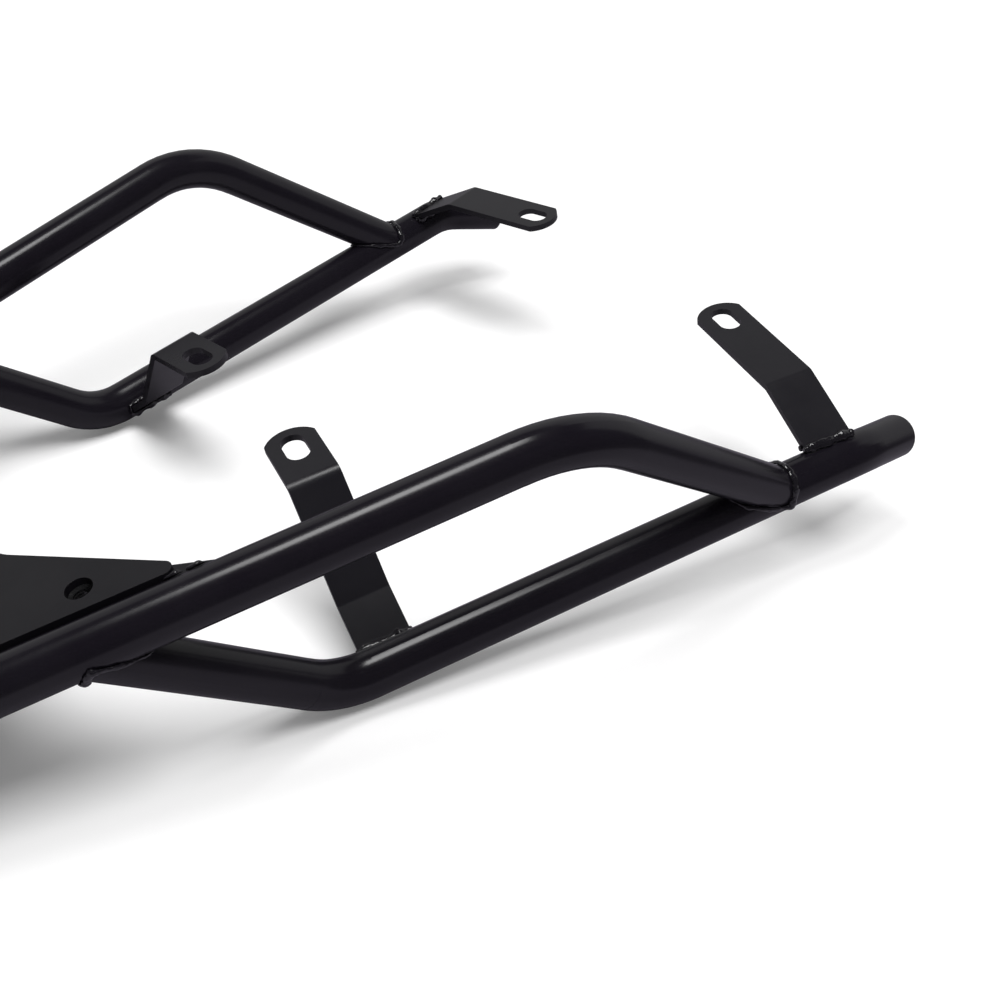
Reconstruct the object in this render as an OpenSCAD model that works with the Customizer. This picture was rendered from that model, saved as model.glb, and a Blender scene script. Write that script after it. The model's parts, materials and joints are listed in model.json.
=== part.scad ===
// Motorcycle luggage rack: a hoop of round tube in one run, two lower rails
// that carry the fixing straps, and a pressed carrier plate between the rails.
// +X runs to the front of the machine, +Z is up and Y = 0 is the middle plane.
// The rack stands on the two elbows of its lower rails and on its tail.

/* [Tube] */
// Outside diameter of every tube
tube_d = 19; // [16:0.5:24]
// Wall of every tube
tube_wall = 1.8; // [1.2:0.1:2.5]

/* [Main hoop] */
// Distance from the elbows of the lower rails back to the tail tube
tail_x = 356; // [340:1:400]
// Half the distance between the rails where they reach the tail
tail_half = 60; // [55:1:70]
// Centreline radius of the two tail bends
tail_bend_r = 48; // [40:1:52]
// Distance of the upper bends ahead of the elbows
upper_x = 82; // [70:1:95]
// Half the distance between the upper bends
upper_half = 159.5; // [150:0.5:168]
// Height of the upper bends over the elbows
upper_h = 104; // [95:1:115]
// Centreline radius of the upper bends
upper_bend_r = 56; // [45:1:65]

/* [Lower rails] */
// Half the distance between the two elbows
elbow_half = 121; // [112:1:130]
// Centreline radius of the elbows
elbow_bend_r = 34; // [28:1:40]
// Distance of the front bends ahead of the elbows
nose_x = 231; // [225:1:250]
// Half the distance between the front bends
nose_half = 159.5; // [154:0.5:166]
// Height of the front bends over the elbows
nose_h = 39; // [33:1:45]
// Centreline radius of the front bends
nose_bend_r = 36; // [28:1:45]
// Reach of the free ends ahead of the front bends
tip_reach = 33; // [28:1:45]
// How far the free ends turn in towards the middle
tip_in = 5.5; // [2:0.5:9]
// How far the free ends drop below the front bends
tip_drop = 6; // [2:0.5:9]
// Share of the lower rail, from elbow to front bend, where the hoop lands on it
hoop_foot = 0.835; // [0.8:0.005:0.86]
// Distance of the rear joint behind the elbows
rear_joint_x = 87; // [72:1:95]

/* [End caps] */
// Thickness of the cap over the free end
cap_t = 2; // [1.5:0.1:3]
// Depth of the spigot inside the tube
cap_plug = 9; // [5:0.5:14]
// Gap all round the spigot
cap_gap = 0.15; // [0.1:0.05:0.3]
// Rounding of the rim of the cap
cap_round = 1.4; // [0.8:0.1:1.5]

/* [Fixing straps] */
// Width of the straps
strap_w = 22; // [18:0.5:25]
// Thickness of the straps
strap_t = 3; // [2:0.1:4]
// Inside radius of the folds
fold_r = 3; // [2:0.5:5]
// Radius of the rounded end of a strap
strap_end_r = 13; // [12.5:0.5:18]
// Width of the slots
slot_w = 10; // [7:0.5:11]
// Overall length of the slots
slot_len = 17; // [13:0.5:19]
// Distance of the slot centre from the end of the strap
slot_edge = 13; // [12:0.5:16]
// Rise of the slotted end of every strap, in degrees
tab_tilt = 3; // [0:0.5:6]

/* [Rear straps] */
// Place of the strap along the lower rail, ahead of the elbow
rear_strap_s = 24.5; // [22:0.5:32]
// Reach from the rail to the slot
rear_reach = 78.5; // [74:0.5:84]
// Height of the slot over the rail
rear_rise = 53.5; // [50:0.5:58]
// Distance of the slot from the upper fold
rear_tab = 21; // [18:0.5:26]
// Reach from the rail to the lower fold
rear_fold_reach = 28; // [24:0.5:32]
// Height of the lower fold over the rail
rear_fold_rise = 12.5; // [9:0.5:16]

/* [Front straps] */
// Place of the strap along the lower rail, ahead of the elbow
front_strap_s = 226; // [221:0.5:230]
// Reach from the rail to the slot
front_reach = 85; // [80:0.5:90]
// Height of the slot over the rail
front_rise = 27; // [24:0.5:30]
// Distance of the slot from the fold
front_tab = 52; // [48:0.5:56]
// Turn of the strap towards the front, from square to its rail, in degrees
front_skew = 3.5; // [0:0.5:4]

/* [Carrier plate] */
// Thickness of the carrier plate
plate_t = 3; // [2:0.1:4]
// Distance of the front corners of the plate from the tail, along the rails' plane
plate_front = 319.5; // [312:0.5:324]
// Distance of the rear edge of the plate from the tail
plate_rear = 78; // [70:1:95]
// Depth of the notch in the front edge
notch_depth = 49.5; // [40:0.5:60]
// Half width of the floor of the notch
notch_half = 64.5; // [50:0.5:72]
// Clearance between the edge of the plate and the tube beside it
plate_gap = 1; // [0.6:0.1:2]
// Rounding of the pointed front corners of the plate
plate_tip_r = 3.2; // [2:0.1:5]
// Rounding of the corners of the notch
notch_r = 16; // [8:1:24]
// Rounding of the rear corners of the plate
plate_rear_r = 11; // [6:0.5:14]
// Diameter of the four fixing holes of the plate
plate_hole_d = 9.6; // [8.5:0.1:11]
// Distance of a fixing hole from the side edge of the plate
hole_side = 10.2; // [9.5:0.1:16]
// Distance of the front fixing holes behind the front corners
hole_front = 33.5; // [31:0.5:40]
// Distance of the rear fixing holes ahead of the rear edge
hole_rear = 38; // [36:1:48]

/* [Plate lugs] */
// Thickness of the lugs under the plate
lug_t = 3; // [2:0.1:4]
// Length of a lug along the rail
lug_len = 33; // [28:0.5:36]
// Reach of a lug from the centreline of the rail
lug_in = 17; // [15:0.5:20]
// Height of the top of the lugs over the centreline of the rails
lug_rise = 5.5; // [4.5:0.1:6.5]
// How far the lugs stand out past the corners of the plate
lug_ahead = 6.5; // [4:0.5:9]

/* [Weld nuts] */
// Thread of the weld nuts
nut_thread_d = 8; // [6:1:8]
// Diameter of the body of a weld nut
nut_d = 15; // [13:0.5:17]
// Height of a weld nut
nut_h = 8; // [6:0.5:10]

/* [Weld beads] */
// Radius of the beads round the tube joints
bead_r = 2.6; // [2:0.1:3.2]
// Radius of the beads along the straps
seam_r = 2.9; // [2:0.1:3.4]
// Radius of the beads along the lugs
lug_seam_r = 2.2; // [1.6:0.1:2.8]
lug_seam_len = 7.5; // [6:0.5:9]
lug_seam_start = 8; // [7:0.5:10]
// Depth of the ripple along a bead, as a share of its radius
ripple = 0.16; // [0.05:0.01:0.25]

/* [Hidden] */
$fn = 72;
steel = [0.05, 0.05, 0.06];
tube_r = tube_d / 2;
bore_r = tube_r - tube_wall;

// Points of the centrelines on the left side, with the elbow at the origin in X and Z.
tail_mid = [-tail_x, 0, 0];
tail_pt = [-tail_x, tail_half, 0];
upper_pt = [upper_x, upper_half, upper_h];
elbow_pt = [0, elbow_half, 0];
nose_pt = [nose_x, nose_half, nose_h];
tip_pt = nose_pt + [tip_reach, -tip_in, -tip_drop];
foot_pt = elbow_pt + hoop_foot * (nose_pt - elbow_pt);
rear_pt = tail_pt + (tail_x - rear_joint_x) / (tail_x + upper_x) * (upper_pt - tail_pt);
// A coped end stops this far short of the crossing of the two centrelines.
cope_back = 1.2;

function unit(v) = v / norm(v);
function back_off(from, to, by) = to - by * unit(to - from);
hoop_pts = [tail_mid, tail_pt, upper_pt, back_off(upper_pt, foot_pt, cope_back)];
hoop_rads = [tail_bend_r, upper_bend_r];
rail_pts = [back_off(elbow_pt, rear_pt, cope_back), elbow_pt, nose_pt, tip_pt];
rail_rads = [elbow_bend_r, nose_bend_r];

// Middle of the overall length, so that the origin lies under it.
mid_x = (tip_pt[0] + cap_t - tail_x - tube_r) / 2;

// A frame is [x, y, z], three unit vectors, with z along the tube.
function turn_angle(d0, d1) = acos(max(-1, min(1, d0 * d1)));
function spin_angle(f, d1) = atan2(d1 * f[1], d1 * f[0]);
function bent_frame(f, d1) =
    let (p = spin_angle(f, d1), a = turn_angle(f[2], d1),
         xb = cos(p) * f[0] + sin(p) * f[1], yb = -sin(p) * f[0] + cos(p) * f[1])
    [cos(a) * xb - sin(a) * f[2], yb, sin(a) * xb + cos(a) * f[2]];
function first_frame(d) =
    let (up = abs(d[2]) < 0.9 ? [0, 0, 1] : [1, 0, 0], x = unit(cross(up, d)))
    [x, cross(d, x), d];
function tangent_len(r, d0, d1) = r * tan(turn_angle(d0, d1) / 2);

module in_frame(f, p = [0, 0, 0]) {
    multmatrix([[f[0][0], f[1][0], f[2][0], p[0]],
                [f[0][1], f[1][1], f[2][1], p[1]],
                [f[0][2], f[1][2], f[2][2], p[2]]]) children();
}

// A bend swells by this much and laps this far over the legs on each side of it,
// so that the run is one solid.
bend_swell = 0.05;
bend_lap = 1;

// One run of tube of radius r: each leg is drawn in the frame of the leg before it.
module run_leg(pts, rads, r, f, i, cut) {
    last = i == len(pts) - 2;
    d1 = last ? f[2] : unit(pts[i + 2] - pts[i + 1]);
    back = i == 0 ? 0 : tangent_len(rads[i - 1], unit(pts[i] - pts[i - 1]), f[2]);
    ahead = last ? 0 : tangent_len(rads[i], f[2], d1);
    leg = norm(pts[i + 1] - pts[i]) - back - ahead;
    cylinder(r = r, h = leg);
    if (!last) {
        br = rads[i];
        a = turn_angle(f[2], d1);
        lap = asin(bend_lap / br);
        translate([0, 0, leg]) rotate([0, 0, spin_angle(f, d1)]) {
            translate([br, 0, 0]) rotate([90, 0, 180]) rotate([0, 0, -lap])
                rotate_extrude(angle = a + 2 * lap) translate([br, 0]) circle(r = r + bend_swell);
            translate([br, 0, 0]) rotate([0, a, 0]) translate([-br, 0, 0])
                run_leg(pts, rads, r, bent_frame(f, d1), i + 1, cut);
        }
    }
}
module run(pts, rads, r) {
    f = first_frame(unit(pts[1] - pts[0]));
    in_frame(f, pts[0]) run_leg(pts, rads, r, f, 0, 0);
}

module placed() { translate([-mid_x, 0, tube_r]) children(); }
module both_sides() { children(); mirror([0, 1, 0]) children(); }
module side(left) { if (left) children(); else mirror([0, 1, 0]) children(); }

module main_hoop() {
    color(steel) placed() difference() {
        both_sides() run(hoop_pts, hoop_rads, tube_r);
        both_sides() run(hoop_pts, hoop_rads, bore_r);
        both_sides() foot_cutter();
    }
}
// Outside of the lower rail where the hoop lands on it.
module foot_cutter() {
    d = unit(nose_pt - elbow_pt);
    in_frame(first_frame(d), foot_pt - 35 * d) cylinder(r = tube_r, h = 70);
}
// Outside of the hoop where the lower rail meets it.
module rear_cutter() {
    d = unit(upper_pt - tail_pt);
    in_frame(first_frame(d), rear_pt - 40 * d) cylinder(r = tube_r, h = 80);
}
module lower_rail(left) {
    color(steel) placed() side(left) difference() {
        run(rail_pts, rail_rads, tube_r);
        run(rail_pts, rail_rads, bore_r);
        rear_cutter();
    }
}
module end_cap(left) {
    f = first_frame(unit(tip_pt - nose_pt));
    color(steel) placed() side(left) in_frame(f, tip_pt) {
        rotate_extrude() difference() {
            square([tube_r, cap_t]);
            translate([tube_r - cap_round, cap_t - cap_round]) difference() {
                square(cap_round + 1);
                circle(r = cap_round);
            }
        }
        translate([0, 0, -cap_plug]) cylinder(r = bore_r - cap_gap, h = cap_plug + 0.5);
    }
}

// ---- Fixing straps: drawn as a side profile (reach, rise) and extruded across ----

rail_dir = unit(nose_pt - elbow_pt);
inboard = unit([rail_dir[1], -rail_dir[0], 0]);
strap_up = cross(inboard, rail_dir);
module strap_frame(s, skew) {
    in_frame([inboard, strap_up, -rail_dir], elbow_pt + s * rail_dir)
        rotate([0, skew, 0]) children();
}
tab_dir = [cos(tab_tilt), sin(tab_tilt)];
rear_slot = [rear_reach, rear_rise];
front_slot = [front_reach, front_rise];
rear_path = [[0.4, -0.5] * tube_r, [rear_fold_reach, rear_fold_rise],
             rear_slot - rear_tab * tab_dir, rear_slot + slot_edge * tab_dir];
front_path = [[-0.1, 0.72] * tube_r, front_slot - front_tab * tab_dir,
              front_slot + slot_edge * tab_dir];

function left_of(d) = [-d[1], d[0]];
function angle_of(d) = atan2(d[1], d[0]);
// Points of one face of a folded strip: off to the left of its path, r the fold's mid radius.
function fold_pts(path, i, r, off) =
    let (d0 = unit(path[i] - path[i - 1]), d1 = unit(path[i + 1] - path[i]),
         turn = cross(d0, d1) > 0 ? 1 : -1, a = acos(d0 * d1),
         c = path[i] - r * tan(a / 2) * d0 + turn * r * left_of(d0),
         a0 = angle_of(-turn * left_of(d0)), n = 8)
    [for (k = [0:n]) let (b = a0 + turn * a * k / n)
        c + (r - turn * off) * [cos(b), sin(b)]];
function face_pts(path, r, off) =
    let (n = len(path) - 1)
    concat([path[0] + off * left_of(unit(path[1] - path[0]))],
           [for (i = [1:n - 1]) each fold_pts(path, i, r, off)],
           [path[n] + off * left_of(unit(path[n] - path[n - 1]))]);
function reversed(v) = [for (i = [len(v) - 1:-1:0]) v[i]];
function strip(path, t, r) =
    concat(face_pts(path, r, t / 2), reversed(face_pts(path, r, -t / 2)));

// Everything to take off the end of a strap: the slot, and the corners of its round end.
module tab_cutter(slot) {
    c = slot_len - slot_w;
    h = strap_t + 4;
    translate(slot) rotate([0, 0, tab_tilt]) rotate([90, 0, 0]) {
        for (x = [-c / 2, c / 2]) translate([x, 0, 0]) cylinder(d = slot_w, h = h, center = true);
        cube([c, slot_w, h], center = true);
        difference() {
            translate([slot_edge - strap_w / 2, -strap_w, -h / 2]) cube([strap_w, 2 * strap_w, h]);
            translate([slot_edge - strap_end_r, 0, 0]) cylinder(r = strap_end_r, h = h + 2, center = true);
            translate([slot_edge - strap_end_r - strap_w, -strap_w - 1, -h / 2 - 1])
                cube([strap_w, 2 * strap_w + 2, h + 2]);
        }
    }
}
module strap(left, s, skew, path, slot) {
    color(steel) placed() side(left) difference() {
        strap_frame(s, skew) difference() {
            linear_extrude(height = strap_w, center = true)
                polygon(strip(path, strap_t, fold_r + strap_t / 2));
            tab_cutter(slot);
        }
        run(rail_pts, rail_rads, tube_r);
    }
}

// ---- Carrier plate: drawn in the plane of the two rails, X from the tail forwards ----

pitch = atan2(upper_h, tail_x + upper_x);
splay = atan2(upper_half - tail_half, norm([tail_x + upper_x, upper_h]));
function rail_y(x) = tail_half + x * tan(splay);
edge_off = sqrt(pow(tube_r + plate_gap, 2) - pow(lug_rise, 2));
function edge_y(x) = rail_y(x) - edge_off / cos(splay);
module plate_frame() { translate([-tail_x, 0, 0]) rotate([0, -pitch, 0]) children(); }
// Frame of the left rail in that plane: X along the rail, Y towards the middle, turned over.
module beside_rail(x) {
    plate_frame() translate([x, rail_y(x), 0]) rotate([0, 0, splay]) mirror([0, 1, 0]) children();
}

function corner_pts(p, i, r) =
    let (n = len(p), a = p[(i + n - 1) % n], b = p[i], c = p[(i + 1) % n],
         d0 = unit(b - a), d1 = unit(c - b), turn = cross(d0, d1) > 0 ? 1 : -1,
         w = acos(d0 * d1), m = b - r * tan(w / 2) * d0 + turn * r * left_of(d0),
         a0 = angle_of(-turn * left_of(d0)), k = 10)
    [for (j = [0:k]) m + r * [cos(a0 + turn * w * j / k), sin(a0 + turn * w * j / k)]];
function rounded(p, r) = [for (i = [0:len(p) - 1]) each corner_pts(p, i, r[i])];

plate_outline = let (f = plate_front, b = plate_rear, n = plate_front - notch_depth) [
    [b, -edge_y(b)], [f, -edge_y(f)], [n, -notch_half], [n, notch_half],
    [f, edge_y(f)], [b, edge_y(b)]];
plate_radii = [plate_rear_r, plate_tip_r, notch_r, notch_r, plate_tip_r, plate_rear_r];
front_hole_x = plate_front - hole_front;
rear_hole_x = plate_rear + hole_rear;
hole_pts = [for (x = [front_hole_x, rear_hole_x]) [x, edge_y(x) - hole_side / cos(splay)]];

module carrier_plate() {
    color(steel) placed() plate_frame() translate([0, 0, lug_rise]) difference() {
        linear_extrude(height = plate_t) polygon(rounded(plate_outline, plate_radii));
        both_sides() for (p = hole_pts)
            translate([p[0], p[1], -1]) cylinder(d = plate_hole_d, h = plate_t + 2);
    }
}
module lug(left, front) {
    x = front ? plate_front : plate_rear;
    inner = 0.5 * tube_r;
    color(steel) placed() side(left) difference() {
        beside_rail(x) mirror([front ? 0 : 1, 0, 0]) translate([0, 0, lug_rise - lug_t])
            linear_extrude(height = lug_t) polygon([
                [lug_ahead - lug_len, inner], [lug_ahead, inner], [lug_ahead, 0.8 * tube_r],
                [lug_ahead - 2.2 * (lug_in - 0.8 * tube_r), lug_in],
                [lug_ahead - lug_len, lug_in]]);
        beside_rail(x) rotate([0, 90, 0]) cylinder(r = tube_r, h = 3 * lug_len, center = true);
    }
}
module weld_nut(left, i) {
    p = hole_pts[i];
    tap_d = 0.85 * nut_thread_d;
    color(steel) placed() side(left) plate_frame()
        translate([p[0], p[1], lug_rise - nut_h]) difference() {
            cylinder(d = nut_d, h = nut_h);
            translate([0, 0, -1]) cylinder(d = tap_d, h = nut_h + 2);
            translate([0, 0, nut_h - 0.8]) cylinder(d1 = tap_d, d2 = tap_d + 1.8, h = 0.9);
        }
}

// ---- Weld beads: a rippled round bead swept along a line, cut back to what it joins ----

bead_sides = 8;
// The bead of a tube joint stands off both tubes by the sag of its own facets.
bead_gap = 0.05;
lug_seam_turn = 17;
function ripple_at(k, amount) = 1 + amount * sin(k * 96) * (0.7 + 0.3 * sin(k * 37));
function ring(c, t, n, r) =
    let (b = unit(cross(t, n)), m = cross(b, t))
    [for (j = [0:bead_sides - 1]) let (a = j * 360 / bead_sides) c + r * (cos(a) * m + sin(a) * b)];
function skin(n, closed) =
    [for (i = [0:(closed ? n - 1 : n - 2)]) for (j = [0:bead_sides - 1])
        let (u = (i + 1) % n * bead_sides, v = i * bead_sides, k = (j + 1) % bead_sides)
        each [[v + j, u + j, u + k], [v + j, u + k, v + k]]];

// Where a leg of direction a, going away from point p, meets a tube of direction u.
function saddle(p, a, u, w) =
    let (f = first_frame(a), r = tube_r + bead_gap, q = r * (cos(w) * f[0] + sin(w) * f[1]),
         qp = q - (q * u) * u, ap = a - (a * u) * u,
         t = (-(qp * ap) + sqrt(max(0, pow(qp * ap, 2) - (ap * ap) * (qp * qp - r * r)))) / (ap * ap))
    p + q + t * a;
// Point b brought on to the tube of direction u through p.
function on_tube(p, u, b) =
    let (v = b - p, h = (v * u) * u) p + h + (tube_r + bead_gap) * unit(v - h);
// One section of the bead: its corner, its toe on the leg, its crown, its toe on the tube
// and the middle of its foot on the tube.
function joint_ring(p, a, u, w, r) =
    let (f = first_frame(a), c = saddle(p, a, u, w),
         t = unit(saddle(p, a, u, w + 4) - saddle(p, a, u, w - 4)),
         n = cos(w) * f[0] + sin(w) * f[1], v = c - p, m = unit(v - (v * u) * u),
         s = unit(cross(t, m)), g = unit(n + m))
    concat([c, c + r * a],
           [for (k = [0.25, 0.5, 0.75]) c + 0.95 * r * unit((1 - k) * a + k * s + 0.55 * g)],
           [for (k = [1, 0.5]) on_tube(p, u, c + k * r * s)]);
module joint_bead(p, a, u) {
    n = 44;
    m = 7;
    pts = [for (i = [0:n - 1]) each joint_ring(p, a, u, i * 360 / n, bead_r * ripple_at(i, ripple))];
    polyhedron(points = pts, faces = [for (i = [0:n - 1]) for (j = [0:m - 1])
        let (x = (i + 1) % n * m, v = i * m, k = (j + 1) % m)
        each [[v + j, x + j, x + k], [v + j, x + k, v + k]]]);
}
// A straight bead along X with round ends, len_s long.
module seam_bead(len_s, bead) {
    n = 2 * ceil(len_s / 4) + 5;
    pts = [for (i = [0:n - 1])
        let (x = -len_s / 2 * cos(180 * i / (n - 1)), e = min(1, (len_s / 2 - abs(x)) / bead),
             r = bead * (0.25 + 0.75 * sqrt(max(0, 1 - pow(1 - e, 2)))))
        each ring([x, 0.12 * bead * sin(i * 70), 0], [1, 0, 0], [0, 0, 1], r * ripple_at(i, 1.3 * ripple))];
    polyhedron(points = pts, faces = concat(skin(n, false),
        [[for (j = [0:bead_sides - 1]) j], [for (j = [bead_sides - 1:-1:0]) (n - 1) * bead_sides + j]]));
}
// Where a line from p along d first comes within r of the origin.
function meet_circle(p, d, r) = let (b = p * d) p + (-b - sqrt(b * b - p * p + r * r)) * d;

module hoop_foot_weld(left) {
    color(steel) placed() side(left) joint_bead(foot_pt, unit(upper_pt - foot_pt), rail_dir);
}
module rear_joint_weld(left) {
    color(steel) placed() side(left)
        joint_bead(rear_pt, unit(elbow_pt - rear_pt), unit(upper_pt - tail_pt));
}
module strap_weld(left, s, skew, path) {
    d = unit(path[0] - path[1]);
    color(steel) placed() side(left) difference() {
        strap_frame(s, skew) for (k = [-1, 1]) {
            c = meet_circle(path[1] + k * strap_t / 2 * left_of(d), d, tube_r + 0.4 * seam_r);
            translate([c[0], c[1], 0]) rotate([0, 90, 0]) seam_bead(strap_w + 3, seam_r);
        }
        strap_frame(s, skew) linear_extrude(height = strap_w, center = true)
            polygon(strip(path, strap_t, fold_r + strap_t / 2));
        run(rail_pts, rail_rads, tube_r);
    }
}
// A section of the fillet between rail, lug and plate edge, k times its full size.
function fillet_ring(x, k) =
    let (r = tube_r + bead_gap, low = lug_rise + bead_gap, a = asin(low / r),
         rail = [for (i = [3:-1:0]) r * [cos(a + k * lug_seam_turn * i / 3), sin(a + k * lug_seam_turn * i / 3)]],
         foot = [rail[3][0] + min(1, k) * (edge_off - bead_gap - rail[3][0]), low],
         rim = foot + [0, k * lug_seam_r])
    [for (q = [foot, rim, 0.7 * rim + 0.3 * rail[0] + [0, 0.4 * k * lug_seam_r],
        0.3 * rim + 0.7 * rail[0] + [0, 0.4 * k * lug_seam_r], each rail]) [x, q[0], q[1]]];
module lug_bead(len_s) {
    n = 2 * ceil(len_s / 4) + 5;
    pts = [for (i = [0:n - 1])
        let (x = -len_s / 2 * cos(180 * i / (n - 1)), e = min(1, (len_s / 2 - abs(x)) / lug_seam_r))
        each fillet_ring(x, (0.25 + 0.75 * sqrt(max(0, 1 - pow(1 - e, 2)))) * ripple_at(i, ripple))];
    polyhedron(points = pts, faces = concat(skin(n, false),
        [[for (j = [0:bead_sides - 1]) j], [for (j = [bead_sides - 1:-1:0]) (n - 1) * bead_sides + j]]));
}
module lug_weld(left, front) {
    color(steel) placed() side(left) beside_rail(front ? plate_front : plate_rear)
        mirror([front ? 0 : 1, 0, 0]) for (k = [0, 1])
            translate([lug_ahead - lug_seam_start - (lug_seam_len + 2 * bead_gap) * k, 0, 0]) lug_bead(lug_seam_len);
}

main_hoop();
lower_rail(true);  // lower_rail_left
lower_rail(false);  // lower_rail_right
end_cap(true);  // end_cap_left
end_cap(false);  // end_cap_right
strap(true, front_strap_s, front_skew, front_path, front_slot);  // front_strap_left
strap(false, front_strap_s, front_skew, front_path, front_slot);  // front_strap_right
strap(true, rear_strap_s, 0, rear_path, rear_slot);  // rear_strap_left
strap(false, rear_strap_s, 0, rear_path, rear_slot);  // rear_strap_right
carrier_plate();
lug(true, true);  // plate_lug_front_left
lug(false, true);  // plate_lug_front_right
lug(true, false);  // plate_lug_rear_left
lug(false, false);  // plate_lug_rear_right
weld_nut(true, 0);  // weld_nut_front_left
weld_nut(false, 0);  // weld_nut_front_right
weld_nut(true, 1);  // weld_nut_rear_left
weld_nut(false, 1);  // weld_nut_rear_right
hoop_foot_weld(true);  // hoop_foot_weld_left
hoop_foot_weld(false);  // hoop_foot_weld_right
rear_joint_weld(true);  // rear_joint_weld_left
rear_joint_weld(false);  // rear_joint_weld_right
strap_weld(true, front_strap_s, front_skew, front_path);  // front_strap_weld_left
strap_weld(false, front_strap_s, front_skew, front_path);  // front_strap_weld_right
strap_weld(true, rear_strap_s, 0, rear_path);  // rear_strap_weld_left
strap_weld(false, rear_strap_s, 0, rear_path);  // rear_strap_weld_right
lug_weld(true, true);  // lug_weld_front_left
lug_weld(false, true);  // lug_weld_front_right
lug_weld(true, false);  // lug_weld_rear_left
lug_weld(false, false);  // lug_weld_rear_right
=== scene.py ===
"""Looks of a black tubular luggage rack.

Its finishes, its weld beads and soft edges, and the studio it is shown in.
"""

import json
import logging
import math
from contextlib import contextmanager
from dataclasses import dataclass, field
from enum import Enum
from typing import Iterable, Iterator

import bpy
from mathutils import Matrix, Vector

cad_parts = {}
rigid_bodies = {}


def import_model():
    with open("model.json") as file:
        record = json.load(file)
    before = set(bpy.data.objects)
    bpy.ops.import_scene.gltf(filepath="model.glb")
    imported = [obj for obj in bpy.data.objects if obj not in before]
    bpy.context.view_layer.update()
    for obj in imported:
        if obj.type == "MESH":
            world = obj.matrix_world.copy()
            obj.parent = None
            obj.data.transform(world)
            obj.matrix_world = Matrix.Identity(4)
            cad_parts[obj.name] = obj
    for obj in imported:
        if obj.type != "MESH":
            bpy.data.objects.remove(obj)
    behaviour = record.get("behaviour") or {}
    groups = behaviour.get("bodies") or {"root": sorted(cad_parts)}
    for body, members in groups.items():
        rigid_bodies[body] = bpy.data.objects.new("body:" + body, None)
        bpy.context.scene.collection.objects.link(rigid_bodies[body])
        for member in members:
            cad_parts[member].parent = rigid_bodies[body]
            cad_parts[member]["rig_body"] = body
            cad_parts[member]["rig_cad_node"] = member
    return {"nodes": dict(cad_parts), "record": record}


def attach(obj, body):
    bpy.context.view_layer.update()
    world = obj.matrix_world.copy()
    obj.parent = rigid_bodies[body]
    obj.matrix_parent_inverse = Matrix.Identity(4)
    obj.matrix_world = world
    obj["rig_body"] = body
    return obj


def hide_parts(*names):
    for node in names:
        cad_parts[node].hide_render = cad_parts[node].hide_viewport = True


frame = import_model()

Colour = tuple[float, float, float]
Point = tuple[float, float, float]
Span = tuple[float, float]
Socket = bpy.types.NodeSocket

LOG = logging.getLogger("rack")
BODY = "root"
MM = 0.001
SIDES = ("left", "right")
ENDS = ("front", "rear")
WELDS = (
    "hoop_foot_weld",
    "rear_joint_weld",
    "front_strap_weld",
    "rear_strap_weld",
    "lug_weld_front",
    "lug_weld_rear",
)
# Marks of a CAD node that its copies don't keep.
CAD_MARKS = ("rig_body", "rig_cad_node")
# Vertices closer than this become one, in metres.
MERGE_DISTANCE = 2e-6
# Faces that meet at a smaller angle are shaded as one surface.
SMOOTH_ANGLE = math.radians(30)
# Share by which the plate is drawn out towards the rails, which narrows the gap between plate and
# rails.
PLATE_WIDEN = 0.0075
# Sockets of the mix node when it mixes colours.
MIX_SHARE, MIX_FIRST, MIX_SECOND, MIX_RESULT = 0, 6, 7, 2


class Slot(Enum):
    """Material slots of the record."""

    STRAP = "strap"
    PLATE = "plate"
    NUT = "weld_nut"
    BEAD = "weld_bead"


# ---------------------------------------------------------------- tools


def deselect() -> None:
    """Clears the selection."""
    bpy.ops.object.select_all(action="DESELECT")


def pick(thing: bpy.types.Object) -> None:
    """Selects one object alone and makes it active."""
    deselect()
    thing.select_set(True)
    bpy.context.view_layer.objects.active = thing


@contextmanager
def editing(thing: bpy.types.Object) -> Iterator[None]:
    """Opens a mesh for editing with all of it selected, and closes it afterwards.

    Args:
        thing: the object to edit.

    Yields:
        Nothing, once the mesh is open.
    """
    pick(thing)
    bpy.ops.object.mode_set(mode="EDIT")
    bpy.ops.mesh.select_all(action="SELECT")
    yield
    bpy.ops.object.mode_set(mode="OBJECT")


def added(name: str) -> bpy.types.Object:
    """Names the object that the last operator added.

    Args:
        name: the name for the object and its data.

    Returns:
        The active object.
    """
    thing = bpy.context.view_layer.objects.active
    thing.name = name
    thing.data.name = name
    return thing


def copy_of_node(node: str, name: str) -> bpy.types.Object:
    """Copies a CAD node and joins its loose triangles.

    Args:
        node: the CAD node to copy.
        name: the name for the copy.

    Returns:
        The copy, with its doubles merged, at the node's place.
    """
    pick(frame["nodes"][node])
    bpy.ops.object.duplicate(linked=False)
    piece = added(name)
    piece.parent = None
    for mark in CAD_MARKS:
        if mark in piece:
            del piece[mark]
    with editing(piece):
        bpy.ops.mesh.remove_doubles(threshold=MERGE_DISTANCE)
        bpy.ops.mesh.customdata_custom_splitnormals_clear()
    return piece


def apply_modifier(piece: bpy.types.Object, kind: str, **settings: object) -> None:
    """Adds a modifier, sets it and applies it.

    Args:
        piece: the object to change.
        kind: the modifier's type name.
        **settings: the modifier's own settings.
    """
    pick(piece)
    bpy.ops.object.modifier_add(type=kind)
    modifier = piece.modifiers[-1]
    for key, value in settings.items():
        setattr(modifier, key, value)
    bpy.ops.object.modifier_apply(modifier=modifier.name)


def dress(thing: bpy.types.Object, material: bpy.types.Material) -> None:
    """Makes one material the only one of an object."""
    thing.data.materials.clear()
    thing.data.materials.append(material)


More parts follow.
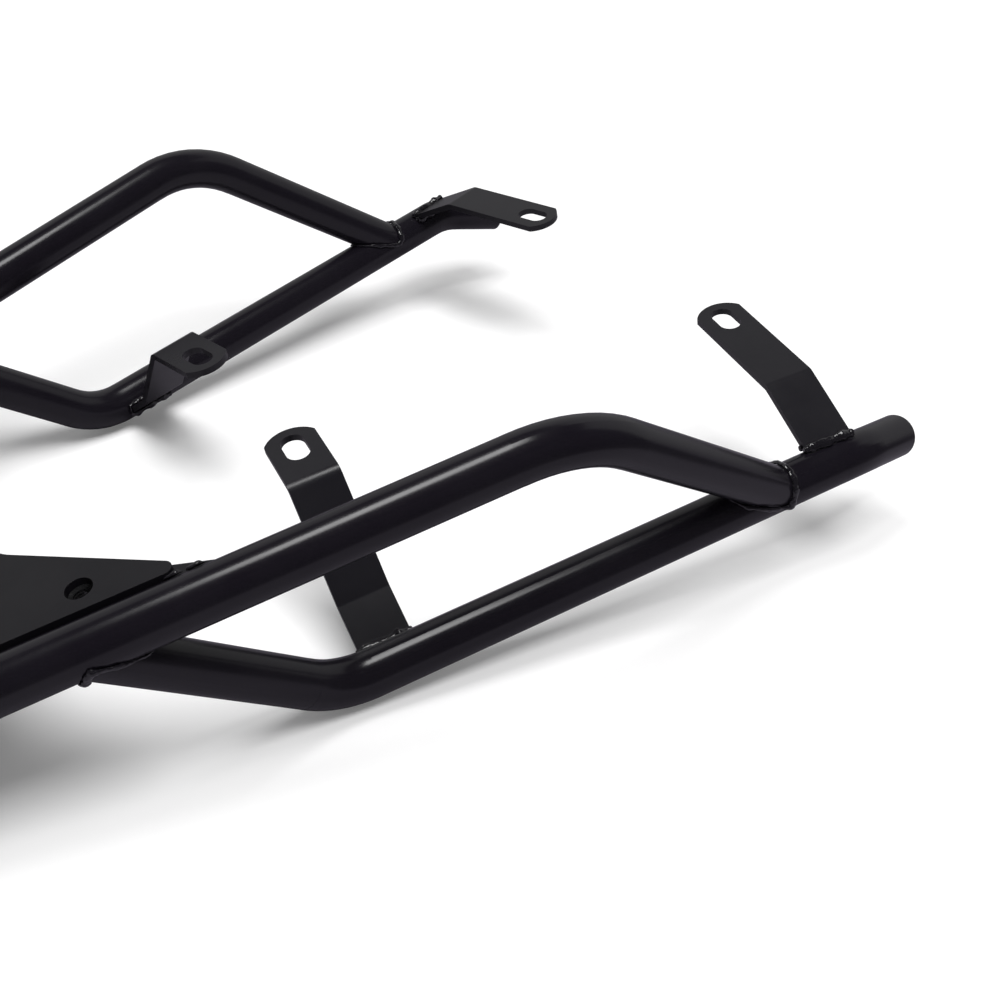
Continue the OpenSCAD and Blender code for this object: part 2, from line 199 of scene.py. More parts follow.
def finish_piece(
    piece: bpy.types.Object,
    material: bpy.types.Material,
    replaced: tuple[str, ...] = (),
) -> None:
    """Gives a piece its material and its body.

    Args:
        piece: the finished piece.
        material: what it is made of.
        replaced: the CAD nodes that it stands for.
    """
    dress(piece, material)
    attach(piece, BODY)
    if replaced:
        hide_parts(*replaced)
    LOG.info("%s: %d faces", piece.name, len(piece.data.polygons))


# ---------------------------------------------------------------- shader groups


@dataclass
class Graph:
    """A node tree that is filled from left to right.

    Attributes:
        tree: the node tree.
        pace: distance between the nodes on the sheet.
    """

    tree: bpy.types.NodeTree
    pace: float = 180.0

    def add(self, kind: str, **settings: object) -> bpy.types.Node:
        """Adds a node and sets its properties.

        Args:
            kind: the node's type name.
            **settings: its own properties, such as operation.

        Returns:
            The new node.
        """
        node = self.tree.nodes.new(kind)
        node.location = (self.pace * len(self.tree.nodes), 0)
        for key, value in settings.items():
            setattr(node, key, value)
        return node

    def link(self, source: Socket, target: Socket) -> None:
        """Links an output to an input."""
        self.tree.links.new(source, target)

    def feed(self, value: "Socket | float | Colour", target: Socket) -> None:
        """Links a socket to an input, or sets the input to a number or a colour.

        Args:
            value: the source, a number or a colour.
            target: the input.
        """
        if isinstance(value, Socket):
            self.link(value, target)
        elif isinstance(value, tuple):
            target.default_value = (*value, 1)
        else:
            target.default_value = value

    def group(self, tree: bpy.types.NodeTree, place: Socket, **values: float) -> bpy.types.Node:
        """Places a shared group.

        Args:
            tree: the shared group.
            place: the coordinates that it reads.
            **values: its other inputs by name.

        Returns:
            The group's node.
        """
        node = self.add("ShaderNodeGroup", node_tree=tree)
        self.link(place, node.inputs["Vector"])
        for key, value in values.items():
            node.inputs[key].default_value = value
        return node

    def noise(
        self, place: Socket, scale: "Socket | float", detail: float, fine: float = 0.5
    ) -> Socket:
        """Adds a noise texture on given coordinates.

        Args:
            place: the coordinates.
            scale: features per metre.
            detail: octaves.
            fine: how strong the fine octaves are.

        Returns:
            The noise, from 0 to 1.
        """
        node = self.add("ShaderNodeTexNoise")
        node.inputs["Detail"].default_value = detail
        node.inputs["Roughness"].default_value = fine
        self.feed(scale, node.inputs["Scale"])
        self.link(place, node.inputs["Vector"])
        return node.outputs["Fac"]

    def ramp(self, value: Socket, source: Span, target: Span = (0.0, 1.0)) -> Socket:
        """Maps a value's range to another, clamped.

        Args:
            value: the socket to read.
            source: the values that give the two results.
            target: the two results.

        Returns:
            The result socket.
        """
        node = self.add("ShaderNodeMapRange", clamp=True)
        node.inputs["From Min"].default_value, node.inputs["From Max"].default_value = source
        node.inputs["To Min"].default_value, node.inputs["To Max"].default_value = target
        self.link(value, node.inputs["Value"])
        return node.outputs["Result"]

    def math(self, operation: str, first: Socket, second: "Socket | float") -> Socket:
        """Adds a math node.

        Args:
            operation: the operation's type name.
            first: the first value.
            second: the second value, a socket or a number.

        Returns:
            The result socket.
        """
        node = self.add("ShaderNodeMath", operation=operation)
        self.link(first, node.inputs[0])
        self.feed(second, node.inputs[1])
        return node.outputs[0]

    def mix(self, share: Socket, first: "Socket | Colour", second: "Socket | Colour") -> Socket:
        """Mixes two colours.

        Args:
            share: how much of the second colour shows.
            first: the first colour, or its socket.
            second: the second colour, or its socket.

        Returns:
            The mixed colour.
        """
        node = self.add("ShaderNodeMix", data_type="RGBA")
        self.link(share, node.inputs[MIX_SHARE])
        self.feed(first, node.inputs[MIX_FIRST])
        self.feed(second, node.inputs[MIX_SECOND])
        return node.outputs[MIX_RESULT]

    def bump(self, height: Socket, strength: float, relief: float) -> Socket:
        """Turns a height into a normal.

        Args:
            height: the height, from 0 to 1.
            strength: how much of the effect shows.
            relief: what a height of 1 stands for, in metres.

        Returns:
            The normal.
        """
        node = self.add("ShaderNodeBump")
        node.inputs["Strength"].default_value = strength
        node.inputs["Distance"].default_value = relief
        self.link(height, node.inputs["Height"])
        return node.outputs["Normal"]

    def seen(self, path: bpy.types.Node) -> Socket:
        """Tells whether a ray comes from the camera, straight or through glass.

        Args:
            path: the light path node.

        Returns:
            1 for such rays, 0 for others.
        """
        camera, glass = path.outputs["Is Camera Ray"], path.outputs["Is Transmission Ray"]
        return self.math("MAXIMUM", camera, glass)


def new_material(name: str) -> tuple[bpy.types.Material, Graph, bpy.types.Node]:
    """Starts a material.

    Args:
        name: the material's name.

    Returns:
        The material, its graph and its shader.
    """
    material = bpy.data.materials.new(name)
    material.use_nodes = True
    return material, Graph(material.node_tree), material.node_tree.nodes["Principled BSDF"]


def new_group(
    name: str, inputs: dict[str, float], outputs: Iterable[str]
) -> tuple[Graph, bpy.types.Node, bpy.types.Node]:
    """Starts a shader node group that reads coordinates and some values.

    Args:
        name: the group's name.
        inputs: its value inputs, each with its default.
        outputs: its output names, all plain values.

    Returns:
        The group's graph, its input node and its output node.
    """
    tree = bpy.data.node_groups.new(name, "ShaderNodeTree")
    tree.interface.new_socket(name="Vector", in_out="INPUT", socket_type="NodeSocketVector")
    for key, value in inputs.items():
        socket = tree.interface.new_socket(name=key, in_out="INPUT", socket_type="NodeSocketFloat")
        socket.default_value = value
    for key in outputs:
        tree.interface.new_socket(name=key, in_out="OUTPUT", socket_type="NodeSocketFloat")
    graph = Graph(tree)
    return graph, graph.add("NodeGroupInput"), graph.add("NodeGroupOutput")


@dataclass
class Effects:
    """The shader groups that the finishes share, each built once.

    Attributes:
        ripples: slow waves of the sprayed surface, per metre.
        patches: duller patches of the coat, per metre.
        patch_range: the noise values where such a patch begins and is whole.
        clouds: patches of dust, per metre.
        cloud_range: the noise values where such a patch begins and is whole.
        up_range: how far a face looks up where dust begins and is whole.
        coat: the group of the sprayed surface.
        specks: the group of the pale specks.
        dust: the group of the resting dust.
    """

    ripples: float = 160.0
    patches: float = 28.0
    patch_range: Span = (0.32, 0.68)
    clouds: float = 60.0
    cloud_range: Span = (0.35, 0.75)
    up_range: Span = (0.2, 1.0)
    coat: bpy.types.NodeTree = field(init=False)
    specks: bpy.types.NodeTree = field(init=False)
    dust: bpy.types.NodeTree = field(init=False)

    def __post_init__(self) -> None:
        """Builds the groups."""
        self.coat = self._coat()
        self.specks = self._specks()
        self.dust = self._dust()

    def _coat(self) -> bpy.types.NodeTree:
        """Orange peel of sprayed powder, and the slow drift of its gloss.

        Returns:
            The group, with outputs Height and Mottle.
        """
        graph, start, end = new_group(
            "powder_coat", {"Peel": 900.0, "Ripple": 0.35}, ("Height", "Mottle")
        )
        place = start.outputs["Vector"]
        peel = graph.noise(place, start.outputs["Peel"], detail=2.0)
        wave = graph.noise(place, self.ripples, detail=2.0)
        slow = graph.math("MULTIPLY", wave, start.outputs["Ripple"])
        graph.link(graph.math("ADD", peel, slow), end.inputs["Height"])
        drift = graph.noise(place, self.patches, detail=4.0, fine=0.6)
        graph.link(graph.ramp(drift, self.patch_range), end.inputs["Mottle"])
        return graph.tree

    def _specks(self) -> bpy.types.NodeTree:
        """Sparse tiny pale specks left on the coat.

        Returns:
            The group, with output Speck, which is their height too.
        """
        graph, start, end = new_group(
            "paint_specks", {"Scale": 120.0, "Share": 0.02, "Size": 0.10}, ("Speck",)
        )
        cells = graph.add("ShaderNodeTexVoronoi", feature="F1")
        cells.inputs["Randomness"].default_value = 1.0
        graph.link(start.outputs["Vector"], cells.inputs["Vector"])
        graph.link(start.outputs["Scale"], cells.inputs["Scale"])
        split = graph.add("ShaderNodeSeparateColor")
        graph.link(cells.outputs["Color"], split.inputs["Color"])
        chosen = graph.math("LESS_THAN", split.outputs["Red"], start.outputs["Share"])
        reach = graph.math("MULTIPLY", split.outputs["Green"], start.outputs["Size"])
        near = graph.math("LESS_THAN", cells.outputs["Distance"], reach)
        graph.link(graph.math("MULTIPLY", chosen, near), end.inputs["Speck"])
        return graph.tree

    def _dust(self) -> bpy.types.NodeTree:
        """A faint film of dust that lies on faces that look up.

        Returns:
            The group, with output Dust.
        """
        graph, start, end = new_group("resting_dust", {"Amount": 0.5}, ("Dust",))
        geometry = graph.add("ShaderNodeNewGeometry")
        split = graph.add("ShaderNodeSeparateXYZ")
        graph.link(geometry.outputs["Normal"], split.inputs["Vector"])
        up = graph.ramp(split.outputs["Z"], self.up_range)
        cloud = graph.noise(start.outputs["Vector"], self.clouds, detail=6.0, fine=0.7)
        film = graph.math("MULTIPLY", up, graph.ramp(cloud, self.cloud_range))
        graph.link(graph.math("MULTIPLY", film, start.outputs["Amount"]), end.inputs["Dust"])
        return graph.tree


# ---------------------------------------------------------------- finishes


@dataclass(frozen=True)
class PowderCoat:
    """Sprayed and baked black powder on steel.

    Attributes:
        name: the material's name.
        colour: the coat's colour.
        pale: the colour where the coat is a little thinner.
        gloss: roughness at its smoothest and at its dullest.
        peel: orange-peel cells per metre.
        relief: height of the peel in metres.
        speck_share: share of the cells that hold a speck.
        dust: how much dust lies on top.
        coat: weight of the clear gloss over the colour.
        coat_roughness: roughness of that gloss.
        peel_strength: how much of the peel shows.
        index: refractive index of the powder.
        dust_tone: colour of the dust.
        speck_tone: colour of the specks.
    """

    name: str
    colour: Colour
    pale: Colour
    gloss: Span
    peel: float
    relief: float
    speck_share: float
    dust: float
    coat: float = 0.0
    coat_roughness: float = 0.12
    peel_strength: float = 0.35
    index: float = 1.5
    dust_tone: Colour = (0.30, 0.29, 0.29)
    speck_tone: Colour = (0.62, 0.61, 0.60)

    def build(self, effects: Effects) -> bpy.types.Material:
        """Makes the material.

        Args:
            effects: the shared shader groups.

        Returns:
            The new material.
        """
        material, graph, shader = new_material(self.name)
        place = graph.add("ShaderNodeTexCoord").outputs["Object"]
        coat = graph.group(effects.coat, place, Peel=self.peel)
        speck = graph.group(effects.specks, place, Share=self.speck_share).outputs["Speck"]
        dust = graph.group(effects.dust, place, Amount=self.dust).outputs["Dust"]
        tone = graph.mix(coat.outputs["Mottle"], self.colour, self.pale)
        tone = graph.mix(dust, tone, self.dust_tone)
        graph.link(graph.mix(speck, tone, self.speck_tone), shader.inputs["Base Color"])
        rough = graph.ramp(coat.outputs["Mottle"], (0.0, 1.0), self.gloss)
        graph.link(graph.math("ADD", rough, dust), shader.inputs["Roughness"])
        height = graph.math("ADD", coat.outputs["Height"], speck)
        normal = graph.bump(height, self.peel_strength, self.relief)
        graph.link(normal, shader.inputs["Normal"])
        shader.inputs["Coat Weight"].default_value = self.coat
        shader.inputs["Coat Roughness"].default_value = self.coat_roughness
        shader.inputs["IOR"].default_value = self.index
        return material


@dataclass(frozen=True)
class DarkSteel:
    """Turned steel with a thin dark finish, worn by the tap.

    Attributes:
        name: the material's name.
        bright: colour of the worn metal.
        dull: colour of the darker patches.
        gloss: roughness at its smoothest and at its dullest.
        metal: how metallic it is, worn and finished.
        grain: tool marks per metre.
        ripple: weight of the slow waves among them.
        relief: height of the marks in metres.
        grain_strength: how much of the marks shows.
    """

    name: str
    bright: Colour
    dull: Colour
    gloss: Span
    metal: Span = (1.0, 0.75)
    grain: float = 2600.0
    ripple: float = 0.9
    relief: float = 0.03 * MM
    grain_strength: float = 0.3

    def build(self, effects: Effects) -> bpy.types.Material:
        """Makes the material.

        Args:
            effects: the shared shader groups.

        Returns:
            The new material.
        """
        material, graph, shader = new_material(self.name)
        place = graph.add("ShaderNodeTexCoord").outputs["Object"]
        marks = graph.group(effects.coat, place, Peel=self.grain, Ripple=self.ripple)
        mottle = marks.outputs["Mottle"]
        graph.link(graph.mix(mottle, self.bright, self.dull), shader.inputs["Base Color"])
        graph.link(graph.ramp(mottle, (0.0, 1.0), self.gloss), shader.inputs["Roughness"])
        graph.link(graph.ramp(mottle, (0.0, 1.0), self.metal), shader.inputs["Metallic"])
        normal = graph.bump(marks.outputs["Height"], self.grain_strength, self.relief)
        graph.link(normal, shader.inputs["Normal"])
        return material


@dataclass(frozen=True)
class WhitePaper:
    """White paper that keeps the rack's shadow and is dimmer in reflections.

    Attributes:
        name: the material's name.
        shade: colour of the darker fibres.
        light: colour of the paler fibres.
        mirrored: colour that reflections see.
        fibres: fibres per metre.
        roughness: roughness of the surface.
        specular: level of its sheen.
        glow: light of its own, near the rack and far from it.
        glow_reach: distances from the middle where that light begins and stops to grow.
    """

    name: str = "white_paper"
    shade: Colour = (0.90, 0.895, 0.90)
    light: Colour = (0.93, 0.93, 0.93)
    mirrored: Colour = (0.205, 0.19, 0.225)
    fibres: float = 700.0
    roughness: float = 0.7
    specular: float = 0.2
    glow: Span = (0.10, 0.60)
    glow_reach: Span = (0.45, 1.3)

    def build(self) -> bpy.types.Material:
        """Makes the material.

        Returns:
            The new material.
        """
        material, graph, shader = new_material(self.name)
        place = graph.add("ShaderNodeTexCoord").outputs["Object"]
        path = graph.add("ShaderNodeLightPath")
        tone = graph.mix(graph.noise(place, self.fibres, detail=3.0), self.shade, self.light)
        tone = graph.mix(path.outputs["Is Glossy Ray"], tone, self.mirrored)
        graph.link(tone, shader.inputs["Base Color"])
        shader.inputs["Roughness"].default_value = self.roughness
        shader.inputs["Specular IOR Level"].default_value = self.specular
        away = graph.add("ShaderNodeVectorMath", operation="LENGTH")
        graph.link(place, away.inputs[0])
        glow = graph.ramp(away.outputs["Value"], self.glow_reach, self.glow)
        glow = graph.math("MULTIPLY", graph.seen(path), glow)
        shader.inputs["Emission Color"].default_value = (1, 1, 1, 1)
        graph.link(glow, shader.inputs["Emission Strength"])
        return material


@dataclass(frozen=True)
class DarkBoard:
    """Matt dark board.

    Attributes:
        name: the material's name.
        colour: the board's colour.
        roughness: roughness of the surface.
    """

    name: str = "dark_board"
    colour: Colour = (0.03, 0.03, 0.032)
    roughness: float = 0.9

    def build(self) -> bpy.types.Material:
        """Makes the material.

        Returns:
            The new material.
        """
        material, _, shader = new_material(self.name)
        shader.inputs["Base Color"].default_value = (*self.colour, 1)
        shader.inputs["Roughness"].default_value = self.roughness
        return material


TUBE_COAT = PowderCoat(
    name="tube_coat",
    colour=(0.0058, 0.0047, 0.0076),
    pale=(0.0076, 0.0064, 0.0096),
    gloss=(0.19, 0.25),
    peel=1500.0,
    relief=0.006 * MM,
    speck_share=0.006,
    dust=0.006,
)
STRAP_COAT = PowderCoat(
    name="strap_coat",
    colour=(0.0085, 0.0078, 0.0105),
    pale=(0.0105, 0.0098, 0.0125),
    gloss=(0.27, 0.34),
    peel=1500.0,
    relief=0.02 * MM,
    speck_share=0.003,
    dust=0.008,
)
PLATE_COAT = PowderCoat(
    name="plate_coat",
    colour=(0.0046, 0.0042, 0.0060),
    pale=(0.0062, 0.0056, 0.0076),
    gloss=(0.30, 0.38),
    peel=1400.0,
    relief=0.02 * MM,
    speck_share=0.004,
    dust=0.008,
)
BEAD_COAT = PowderCoat(
    name="bead_coat",
    colour=(0.0060, 0.0052, 0.0075),
    pale=(0.0085, 0.0075, 0.0100),
    gloss=(0.13, 0.24),
    peel=1800.0,
    relief=0.03 * MM,
    speck_share=0.010,
    dust=0.008,
    coat=0.6,
)
NUT_STEEL = DarkSteel(
    name="nut_steel",
    bright=(0.13, 0.13, 0.135),
    dull=(0.035, 0.034, 0.036),
    gloss=(0.15, 0.30),
)


# ---------------------------------------------------------------- the rack


@dataclass
class TubeFrame:
    """The hoop, the lower rails and their end caps, which keep their CAD shape.

    Attributes:
        nodes: the CAD nodes made of tube, and those that close its free ends.
    """

    nodes: tuple[str, ...] = (
        "main_hoop",
        *(f"{part}_{side}" for part in ("lower_rail", "end_cap") for side in SIDES),
    )

    def dress(self, material: bpy.types.Material) -> None:
        """Gives tubes and caps their coat."""
        for node in self.nodes:
            dress(frame["nodes"][node], material)
            LOG.info("%s: coated", node)


@dataclass
class SheetParts:
    """Parts cut from flat steel, with the soft edges that powder leaves.

    Attributes:
        nodes: the CAD nodes of this stock.
        widen: share by which a part is drawn out sideways, which narrows the gaps beside it.
        edge: how far the edges are rounded, in metres.
        steps: how many facets make up an edge.
        sharp: the angle above which an edge is rounded.
        flat: the angle below which faces are joined.
        flat_weight: how much the large faces rule the shading, from 1 to 100.
    """

    nodes: tuple[str, ...]
    widen: float = 0.0
    edge: float = 0.55 * MM
    steps: int = 3
    sharp: float = math.radians(40)
    flat: float = math.radians(0.5)
    flat_weight: int = 100

    def build(self, node: str) -> bpy.types.Object:
        """Copies a node and rounds its edges.

        Args:
            node: the CAD node.

        Returns:
            The rounded piece.
        """
        piece = copy_of_node(node, f"{node}_soft_edged")
        with editing(piece):
            bpy.ops.mesh.dissolve_limited(angle_limit=self.flat)
            bpy.ops.mesh.select_all(action="SELECT")
            bpy.ops.transform.resize(value=(1, 1 + self.widen, 1), center_override=(0, 0, 0))
        apply_modifier(
            piece,
            "BEVEL",
            width=self.edge,
            segments=self.steps,
            limit_method="ANGLE",
            angle_limit=self.sharp,
            use_clamp_overlap=True,
        )
        pick(piece)
        bpy.ops.object.shade_smooth_by_angle(angle=SMOOTH_ANGLE)
        apply_modifier(
            piece, "WEIGHTED_NORMAL", mode="FACE_AREA", weight=self.flat_weight, keep_sharp=True
        )
        return piece

    def make(self, material: bpy.types.Material, slot: Slot) -> None:
        """Builds and dresses every part of this stock.

        Args:
            material: the coat.
            slot: the record's slot, not used.
        """
        for node in self.nodes:
            finish_piece(self.build(node), material, (node,))


@dataclass
class WeldBeads:
    """Hand-laid weld beads under gloss powder.

    Attributes:
        nodes: the CAD nodes of the beads.
        voxel: the grain of the rebuilt surface, in metres.
        sink: how far the surface is drawn in before it is worked, in metres.
        soften: how often the rebuilt surface is smoothed.
        ease: how far each smoothing goes.
        lump: size and height of the puddles, in metres.
        pit: size and height of the fine spatter, in metres.
        level: the value of the relief that leaves the surface in place.
        octaves: how fine the relief is.
    """

    nodes: tuple[str, ...]
    voxel: float = 0.33 * MM
    sink: float = 0.42 * MM
    soften: int = 16
    ease: float = 0.6
    lump: Span = (3.2 * MM, 0.9 * MM)
    pit: Span = (1.2 * MM, 0.14 * MM)
    level: float = 0.52
    octaves: int = 2

    def roughen(self, piece: bpy.types.Object, size: float, height: float) -> None:
        """Displaces a bead by a cloudy relief.

        Args:
            piece: the bead.
            size: size of the clouds, in metres.
            height: how far the surface moves between the lowest and the highest value.
        """
        texture = bpy.data.textures.new(f"{piece.name}_relief", "CLOUDS")
        texture.noise_scale = size
        texture.noise_depth = self.octaves
        apply_modifier(
            piece,
            "DISPLACE",
            texture=texture,
            texture_coords="LOCAL",
            strength=height,
            mid_level=self.level,
        )
        bpy.data.textures.remove(texture)

    def build(self, node: str) -> bpy.types.Object:
        """Rebuilds a bead as a lumpy skin.

        Args:
            node: the CAD node.

        Returns:
            The bead.
        """
        piece = copy_of_node(node, f"{node}_puddled")
        apply_modifier(piece, "DISPLACE", strength=-self.sink, mid_level=0.0)
        apply_modifier(piece, "REMESH", mode="VOXEL", voxel_size=self.voxel, adaptivity=0.0)
        apply_modifier(piece, "SMOOTH", factor=self.ease, iterations=self.soften)
        self.roughen(piece, *self.lump)
        self.roughen(piece, *self.pit)
        pick(piece)
        bpy.ops.object.shade_smooth()
        return piece

    def make(self, material: bpy.types.Material) -> None:
        """Builds and dresses every bead."""
        for node in self.nodes:
            finish_piece(self.build(node), material, (node,))


@dataclass
class WeldNuts:
    """The nuts under the carrier plate, each with its cut thread.

    Attributes:
        pitch: rise of the thread in one turn, in metres.
        crest: radius of the thread's crest, in metres.
        root: radius just behind the bore's wall, in metres.
        crest_half: half the width of the crest, as a share of the pitch.
        root_half: half the width of the root, as a share of the pitch.
        turns: how many turns the bore shows.
        steps: points in one turn.
    """

    pitch: float = 1.25 * MM
    crest: float = 3.18 * MM
    root: float = 3.46 * MM
    crest_half: float = 0.08
    root_half: float = 0.36
    turns: int = 6
    steps: int = 48

    def thread(self, end: str, side: str) -> bpy.types.Object:
        """Winds a thread ridge inside a nut's bore.

        Args:
            end: the end of the plate that holds the nut.
            side: the side of the plate that holds the nut.

        Returns:
            The thread, a closed ridge.
        """
        deselect()
        bpy.ops.mesh.primitive_circle_add(vertices=4, radius=1.0, fill_type="NGON")
        ridge = added(f"weld_nut_{end}_{side}_thread")
        profile = (
            (self.crest, self.crest_half),
            (self.crest, -self.crest_half),
            (self.root, -self.root_half),
            (self.root, self.root_half),
        )
        for vertex, (radius, share) in zip(ridge.data.vertices, profile):
            vertex.co = (radius, 0.0, share * self.pitch)
        apply_modifier(
            ridge,
            "SCREW",
            angle=math.tau * self.turns,
            screw_offset=self.pitch * self.turns,
            steps=self.steps * self.turns,
            render_steps=self.steps * self.turns,
            use_merge_vertices=False,
            use_smooth_shade=True,
        )
        with editing(ridge):
            bpy.ops.mesh.remove_doubles(threshold=MERGE_DISTANCE)
            bpy.ops.mesh.select_all(action="DESELECT")
            bpy.ops.mesh.select_non_manifold()
            bpy.ops.mesh.edge_face_add()
            bpy.ops.mesh.select_all(action="SELECT")
            bpy.ops.mesh.normals_make_consistent(inside=False)
        axis, centre = self._bore(end, side)
        turn = Vector((0, 0, 1)).rotation_difference(axis).to_matrix().to_4x4()
        down = Matrix.Translation((0, 0, -0.5 * self.pitch * self.turns))
        ridge.data.transform(Matrix.Translation(centre) @ turn @ down)
        pick(ridge)
        bpy.ops.object.shade_smooth_by_angle(angle=SMOOTH_ANGLE)
        return ridge

    @staticmethod
    def _bore(end: str, side: str) -> tuple[Vector, Vector]:
        """Direction and middle of a nut's bore, from the record's mount.

        Args:
            end: the end of the plate that holds the nut.
            side: the side of the plate that holds the nut.

        Returns:
            The bore's axis and its middle.
        """
        mounts = {mount["name"]: mount for mount in frame["record"]["mounts"]}
        mount = mounts[f"nut_{end}_{side}"]
        return Vector(mount["axis"]).normalized(), Vector(mount["pos_m"])

    def make(self, material: bpy.types.Material) -> None:
        """Dresses the nuts and threads them."""
        for end in ENDS:
            for side in SIDES:
                dress(frame["nodes"][f"weld_nut_{end}_{side}"], material)
                finish_piece(self.thread(end, side), material)


# ---------------------------------------------------------------- the studio


@dataclass(frozen=True)
class SoftBox:
    """A rectangular lamp.

    Attributes:
        name: the lamp's name.
        spot: where it hangs.
        aim: what it points at.
        size: its width and its depth.
        power: its power in watts.
        mirrored: whether reflections show it.
    """

    name: str
    spot: Point
    aim: Point
    size: Span
    power: float
    mirrored: bool = True

    def hang(self) -> None:
        """Hangs the lamp."""
        deselect()
        bpy.ops.object.light_add(type="AREA", location=self.spot)
        lamp = added(self.name)
        lamp.data.shape = "RECTANGLE"
        lamp.data.size, lamp.data.size_y = self.size
        lamp.data.energy = self.power
        lamp.rotation_mode = "QUATERNION"
        lamp.rotation_quaternion = (Vector(self.aim) - Vector(self.spot)).to_track_quat("-Z", "Y")
        lamp.visible_glossy = self.mirrored


OVERHEAD_BOX = SoftBox(
    name="overhead_box",
    spot=(-0.06, 0.06, 1.65),
    aim=(-0.06, 0.06, 0.0),
    size=(0.7, 0.5),
    power=9.0,
)
FRONT_BOX = SoftBox(
    name="front_box",
    spot=(0.0, -1.1, 2.9),
    aim=(0.0, 0.0, 0.0),
    size=(1.7, 1.3),
    power=68.0,
    mirrored=False,
)


@dataclass(frozen=True)
class BoardRing:
    """A ring of board round the middle, seen by reflections alone.

    Attributes:
        name: the board's name.
        inner: radius of its first edge.
        outer: radius of its second edge.
        low: height of its first edge.
        high: height of its second edge.
        is_open: whether it is open towards the backdrop.
        gap: the cosine to the backdrop's direction above which an open ring is cut away.
        faces: how many faces make up the ring.
    """

    name: str
    inner: float
    outer: float
    low: float
    high: float
    is_open: bool = True
    gap: float = 0.2
    faces: int = 64

    def stand(self, away: Vector, material: bpy.types.Material) -> None:
        """Stands the board.

        Args:
            away: the direction of the backdrop.
            material: what the board is made of.
        """
        deselect()
        bpy.ops.mesh.primitive_circle_add(
            vertices=self.faces, radius=self.inner, fill_type="NOTHING", location=(0, 0, self.low)
        )
        board = added(self.name)
        bpy.ops.object.transform_apply(location=True)
        with editing(board):
            share = self.outer / self.inner
            bpy.ops.mesh.extrude_region_move()
            bpy.ops.transform.resize(value=(share, share, 1))
            bpy.ops.transform.translate(value=(0, 0, self.high - self.low))
            bpy.ops.mesh.select_all(action="DESELECT")
        if self.is_open:
            self._cut(board, away.xy.normalized())
        dress(board, material)
        board.visible_camera = False
        board.visible_diffuse = False
        board.visible_shadow = False

    def _cut(self, board: bpy.types.Object, away: Vector) -> None:
        """Cuts away the faces that stand before the backdrop.

        Args:
            board: the whole ring.
            away: the direction of the backdrop on the floor.
        """
        for face in board.data.polygons:
            face.select = face.center.xy.normalized().dot(away) > self.gap
        bpy.ops.object.mode_set(mode="EDIT")
        bpy.ops.mesh.delete(type="FACE")
        bpy.ops.object.mode_set(mode="OBJECT")


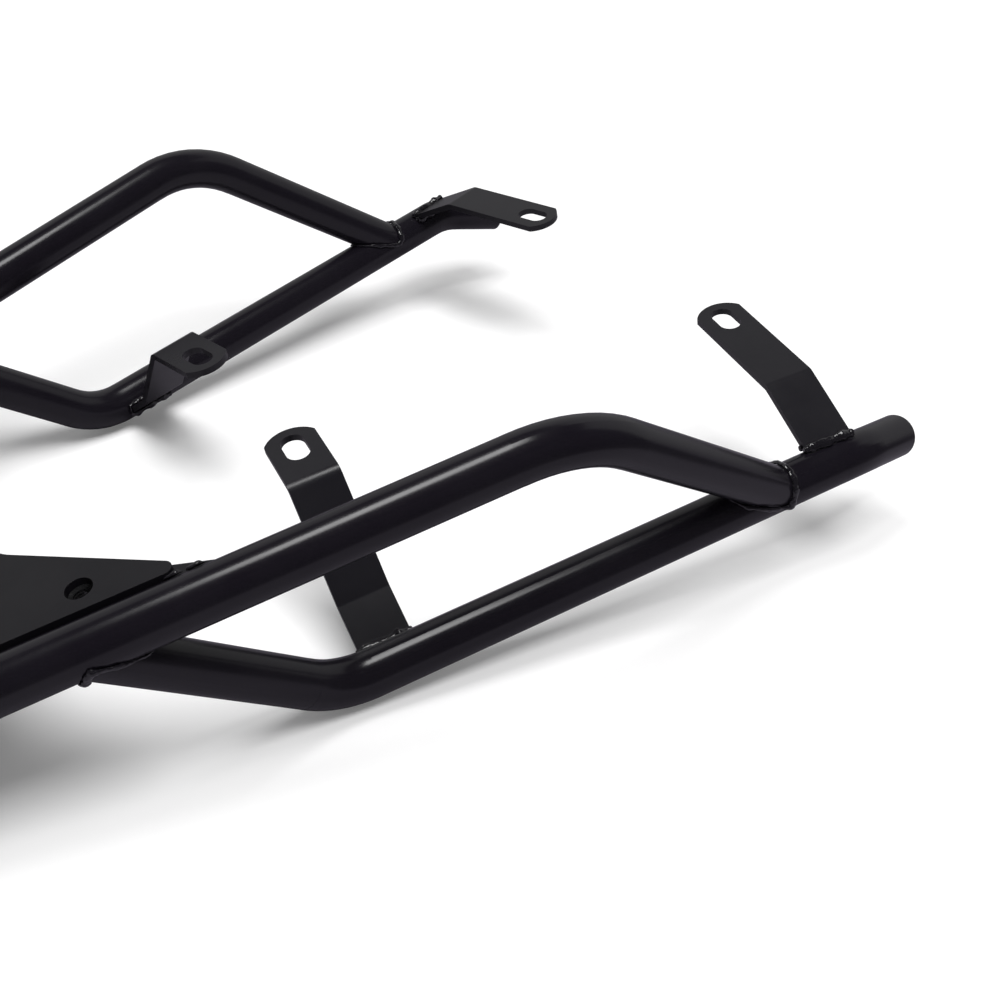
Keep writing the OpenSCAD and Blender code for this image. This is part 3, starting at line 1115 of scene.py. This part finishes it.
@dataclass
class Studio:
    """Floor, backdrop, boards, lamps and camera.

    Attributes:
        reach: half the side of the floor.
        floor_gap: how far the floor lies under the rack's lowest point.
        soft_light: strength of the surround as light.
        backdrop: strength of the surround as the camera sees it.
        wall: radius of the dark boards' outer edges.
        roof: height of the dark boards.
        roof_hole: radius of the hole in the middle of the roof.
        apron: radius at which the dark board on the floor begins.
        apron_height: how far that board lies over the floor.
        eye: the camera's place.
        right: the camera's own x axis.
        up: the camera's own y axis.
        lens: focal length in millimetres.
        sensor: width of the sensor in millimetres.
        clip: the nearest distance that the camera sees.
    """

    reach: float = 6.0
    floor_gap: float = 0.2 * MM
    soft_light: float = 0.32
    backdrop: float = 1.0
    wall: float = 2.2
    roof: float = 2.4
    roof_hole: float = 10 * MM
    apron: float = 0.52
    apron_height: float = 1 * MM
    eye: Vector = field(default_factory=lambda: Vector((-0.10765, -0.4490, 0.3461)))
    right: Vector = field(default_factory=lambda: Vector((0.81614, -0.57786, 0.0)))
    up: Vector = field(default_factory=lambda: Vector((0.33062, 0.46695, 0.82015)))
    lens: float = 46.69
    sensor: float = 36.0
    clip: float = 0.01

    def floor(self) -> None:
        """Lays the floor."""
        deselect()
        bpy.ops.mesh.primitive_plane_add(size=2 * self.reach, location=(0, 0, -self.floor_gap))
        ground = added("floor")
        bpy.ops.object.transform_apply(location=True)
        dress(ground, WhitePaper().build())

    def world(self) -> None:
        """Sets a white surround for what is seen, and a plain grey one for soft light."""
        world = bpy.data.worlds.new("surround")
        bpy.context.scene.world = world
        world.use_nodes = True
        graph = Graph(world.node_tree)
        back = world.node_tree.nodes["Background"]
        back.inputs["Color"].default_value = (1, 1, 1, 1)
        seen = graph.seen(graph.add("ShaderNodeLightPath"))
        strength = graph.ramp(seen, (0.0, 1.0), (self.soft_light, self.backdrop))
        graph.link(strength, back.inputs["Strength"])

    def boards(self) -> None:
        """Stands dark boards round the camera side, over the rack and on the near floor.

        They keep the coat black where no lamp is mirrored in it.
        """
        away = -self.right.cross(self.up)
        material = DarkBoard().build()
        for board in (
            BoardRing("dark_wall", self.wall, self.wall, 0.0, self.roof),
            BoardRing("dark_apron", self.apron, self.wall, self.apron_height, self.apron_height),
            BoardRing("dark_roof", self.roof_hole, self.wall, self.roof, self.roof, is_open=False),
        ):
            board.stand(away, material)

    def camera(self) -> None:
        """Sets the camera that took the picture's view."""
        back = self.right.cross(self.up)
        turn = Matrix((self.right, self.up, back)).transposed().to_4x4()
        deselect()
        bpy.ops.object.camera_add(location=self.eye)
        camera = added("camera")
        camera.matrix_world = Matrix.Translation(self.eye) @ turn
        camera.data.sensor_fit = "HORIZONTAL"
        camera.data.sensor_width = self.sensor
        camera.data.lens = self.lens
        camera.data.clip_start = self.clip
        bpy.context.scene.camera = camera

    def build(self) -> None:
        """Sets up the whole studio."""
        self.floor()
        self.world()
        self.boards()
        OVERHEAD_BOX.hang()
        FRONT_BOX.hang()
        self.camera()
        bpy.context.scene.view_settings.view_transform = "Standard"
        LOG.info("studio: set up")


# ---------------------------------------------------------------- the whole


def each(pattern: str) -> tuple[str, ...]:
    """Names the four nodes of a kind.

    Args:
        pattern: the name, with {end} and {side} where they differ.

    Returns:
        The node names.
    """
    return tuple(pattern.format(end=end, side=side) for end in ENDS for side in SIDES)


def main() -> None:
    """Builds and dresses the rack, then the studio."""
    logging.basicConfig(level=logging.INFO, format="%(name)s: %(message)s")
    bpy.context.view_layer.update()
    effects = Effects()
    plate_coat = PLATE_COAT.build(effects)
    TubeFrame().dress(TUBE_COAT.build(effects))
    SheetParts(each("{end}_strap_{side}")).make(STRAP_COAT.build(effects), Slot.STRAP)
    SheetParts(("carrier_plate",), widen=PLATE_WIDEN).make(plate_coat, Slot.PLATE)
    SheetParts(each("plate_lug_{end}_{side}")).make(plate_coat, Slot.PLATE)
    beads = tuple(f"{weld}_{side}" for weld in WELDS for side in SIDES)
    WeldBeads(beads).make(BEAD_COAT.build(effects))
    WeldNuts().make(NUT_STEEL.build(effects))
    Studio().build()


if __name__ == "__main__":
    main()
